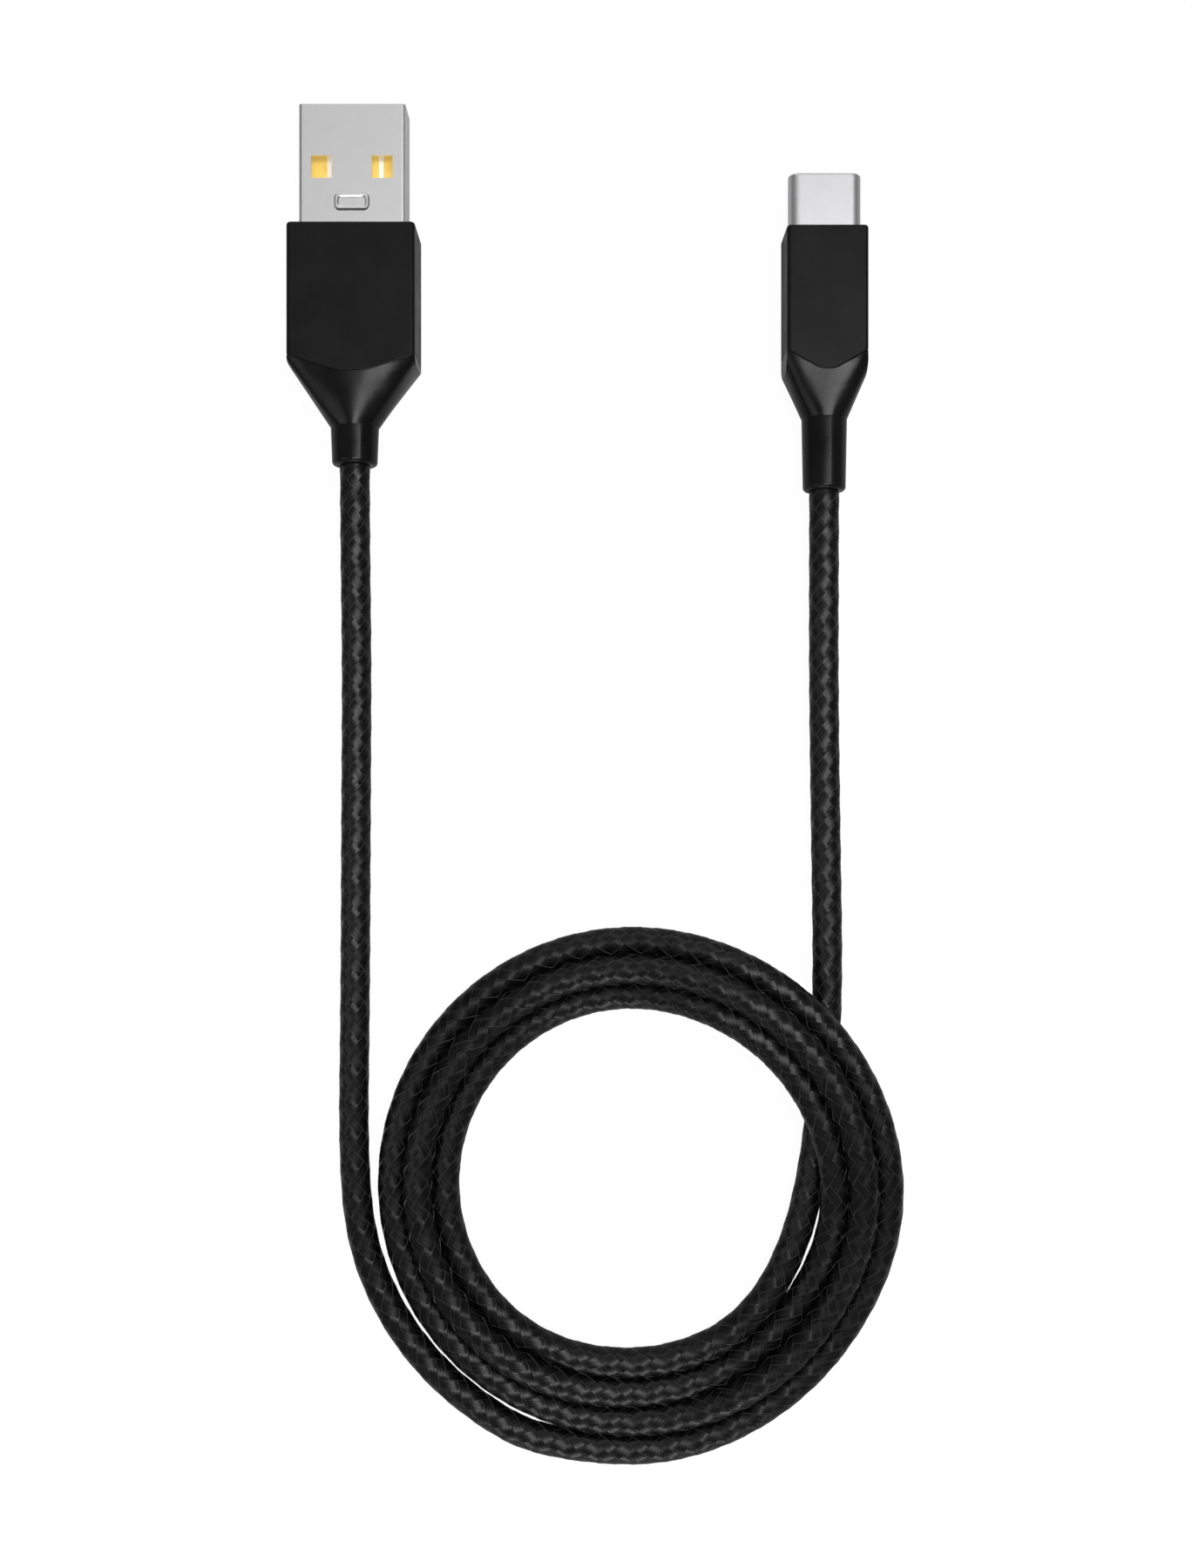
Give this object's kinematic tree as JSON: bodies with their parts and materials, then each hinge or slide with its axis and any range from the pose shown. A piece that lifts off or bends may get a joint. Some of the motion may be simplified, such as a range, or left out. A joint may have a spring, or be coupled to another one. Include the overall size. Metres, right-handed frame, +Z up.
{
  "type": "charging cable",
  "caption": "Braided charging cable with a rectangular USB-A plug and an oval USB-C plug, its slack laid in a flat round coil.",
  "frame": {"origin": "on the table, under the middle of the box that holds the two plugs without the cord", "axes": "+X across, from the USB-A plug to the USB-C plug; +Y the way both plugs face; +Z up from the table"},
  "size_m": [0.0695, 0.1545, 0.0083],
  "materials": {
    "nickel_shell": "satin",
    "gold_contact": "polished",
    "white_carrier": "satin",
    "black_carrier": "satin",
    "spring_steel": "satin",
    "solder": "satin",
    "board": "satin",
    "chip": "satin",
    "wire_red": "gloss",
    "wire_white": "gloss",
    "wire_green": "gloss",
    "wire_black": "gloss",
    "inner_mould": "matte",
    "housing_black": "satin",
    "boot_black": "satin",
    "cable_jacket": "matte",
    "nylon_braid": "woven"
  },
  "bodies": {
    "root": {"usb_a_shell": "nickel_shell", "usb_a_contact_vbus": "gold_contact", "usb_a_contact_data_plus": "gold_contact", "usb_a_contact_data_minus": "gold_contact", "usb_a_contact_ground": "gold_contact", "usb_a_contact_carrier": "white_carrier", "usb_a_shield_crimp": "spring_steel", "usb_a_cable_end": "cable_jacket", "usb_a_wire_red": "wire_red", "usb_a_wire_white": "wire_white", "usb_a_wire_green": "wire_green", "usb_a_wire_black": "wire_black", "usb_a_solder": "solder", "usb_a_strain_relief": "boot_black", "usb_a_inner_mould": "inner_mould", "usb_a_housing": "housing_black", "usb_a_boot": "boot_black", "usb_c_shell": "nickel_shell", "usb_c_contacts_upper": "gold_contact", "usb_c_contacts_lower": "gold_contact", "usb_c_latch": "spring_steel", "usb_c_ground_spring_upper": "spring_steel", "usb_c_ground_spring_lower": "spring_steel", "usb_c_contact_carrier": "black_carrier", "usb_c_circuit_board": "board", "usb_c_pullup_resistor": "chip", "usb_c_shield_can": "spring_steel", "usb_c_cable_end": "cable_jacket", "usb_c_wire_red": "wire_red", "usb_c_wire_white": "wire_white", "usb_c_wire_green": "wire_green", "usb_c_wire_black": "wire_black", "usb_c_solder": "solder", "usb_c_strain_relief": "boot_black", "usb_c_inner_mould": "inner_mould", "usb_c_housing": "housing_black", "usb_c_boot": "boot_black", "cord_lead_usb_a": "nylon_braid", "cord_lead_usb_c": "nylon_braid", "cord_coil": "nylon_braid"}
  },
  "joints": []
}
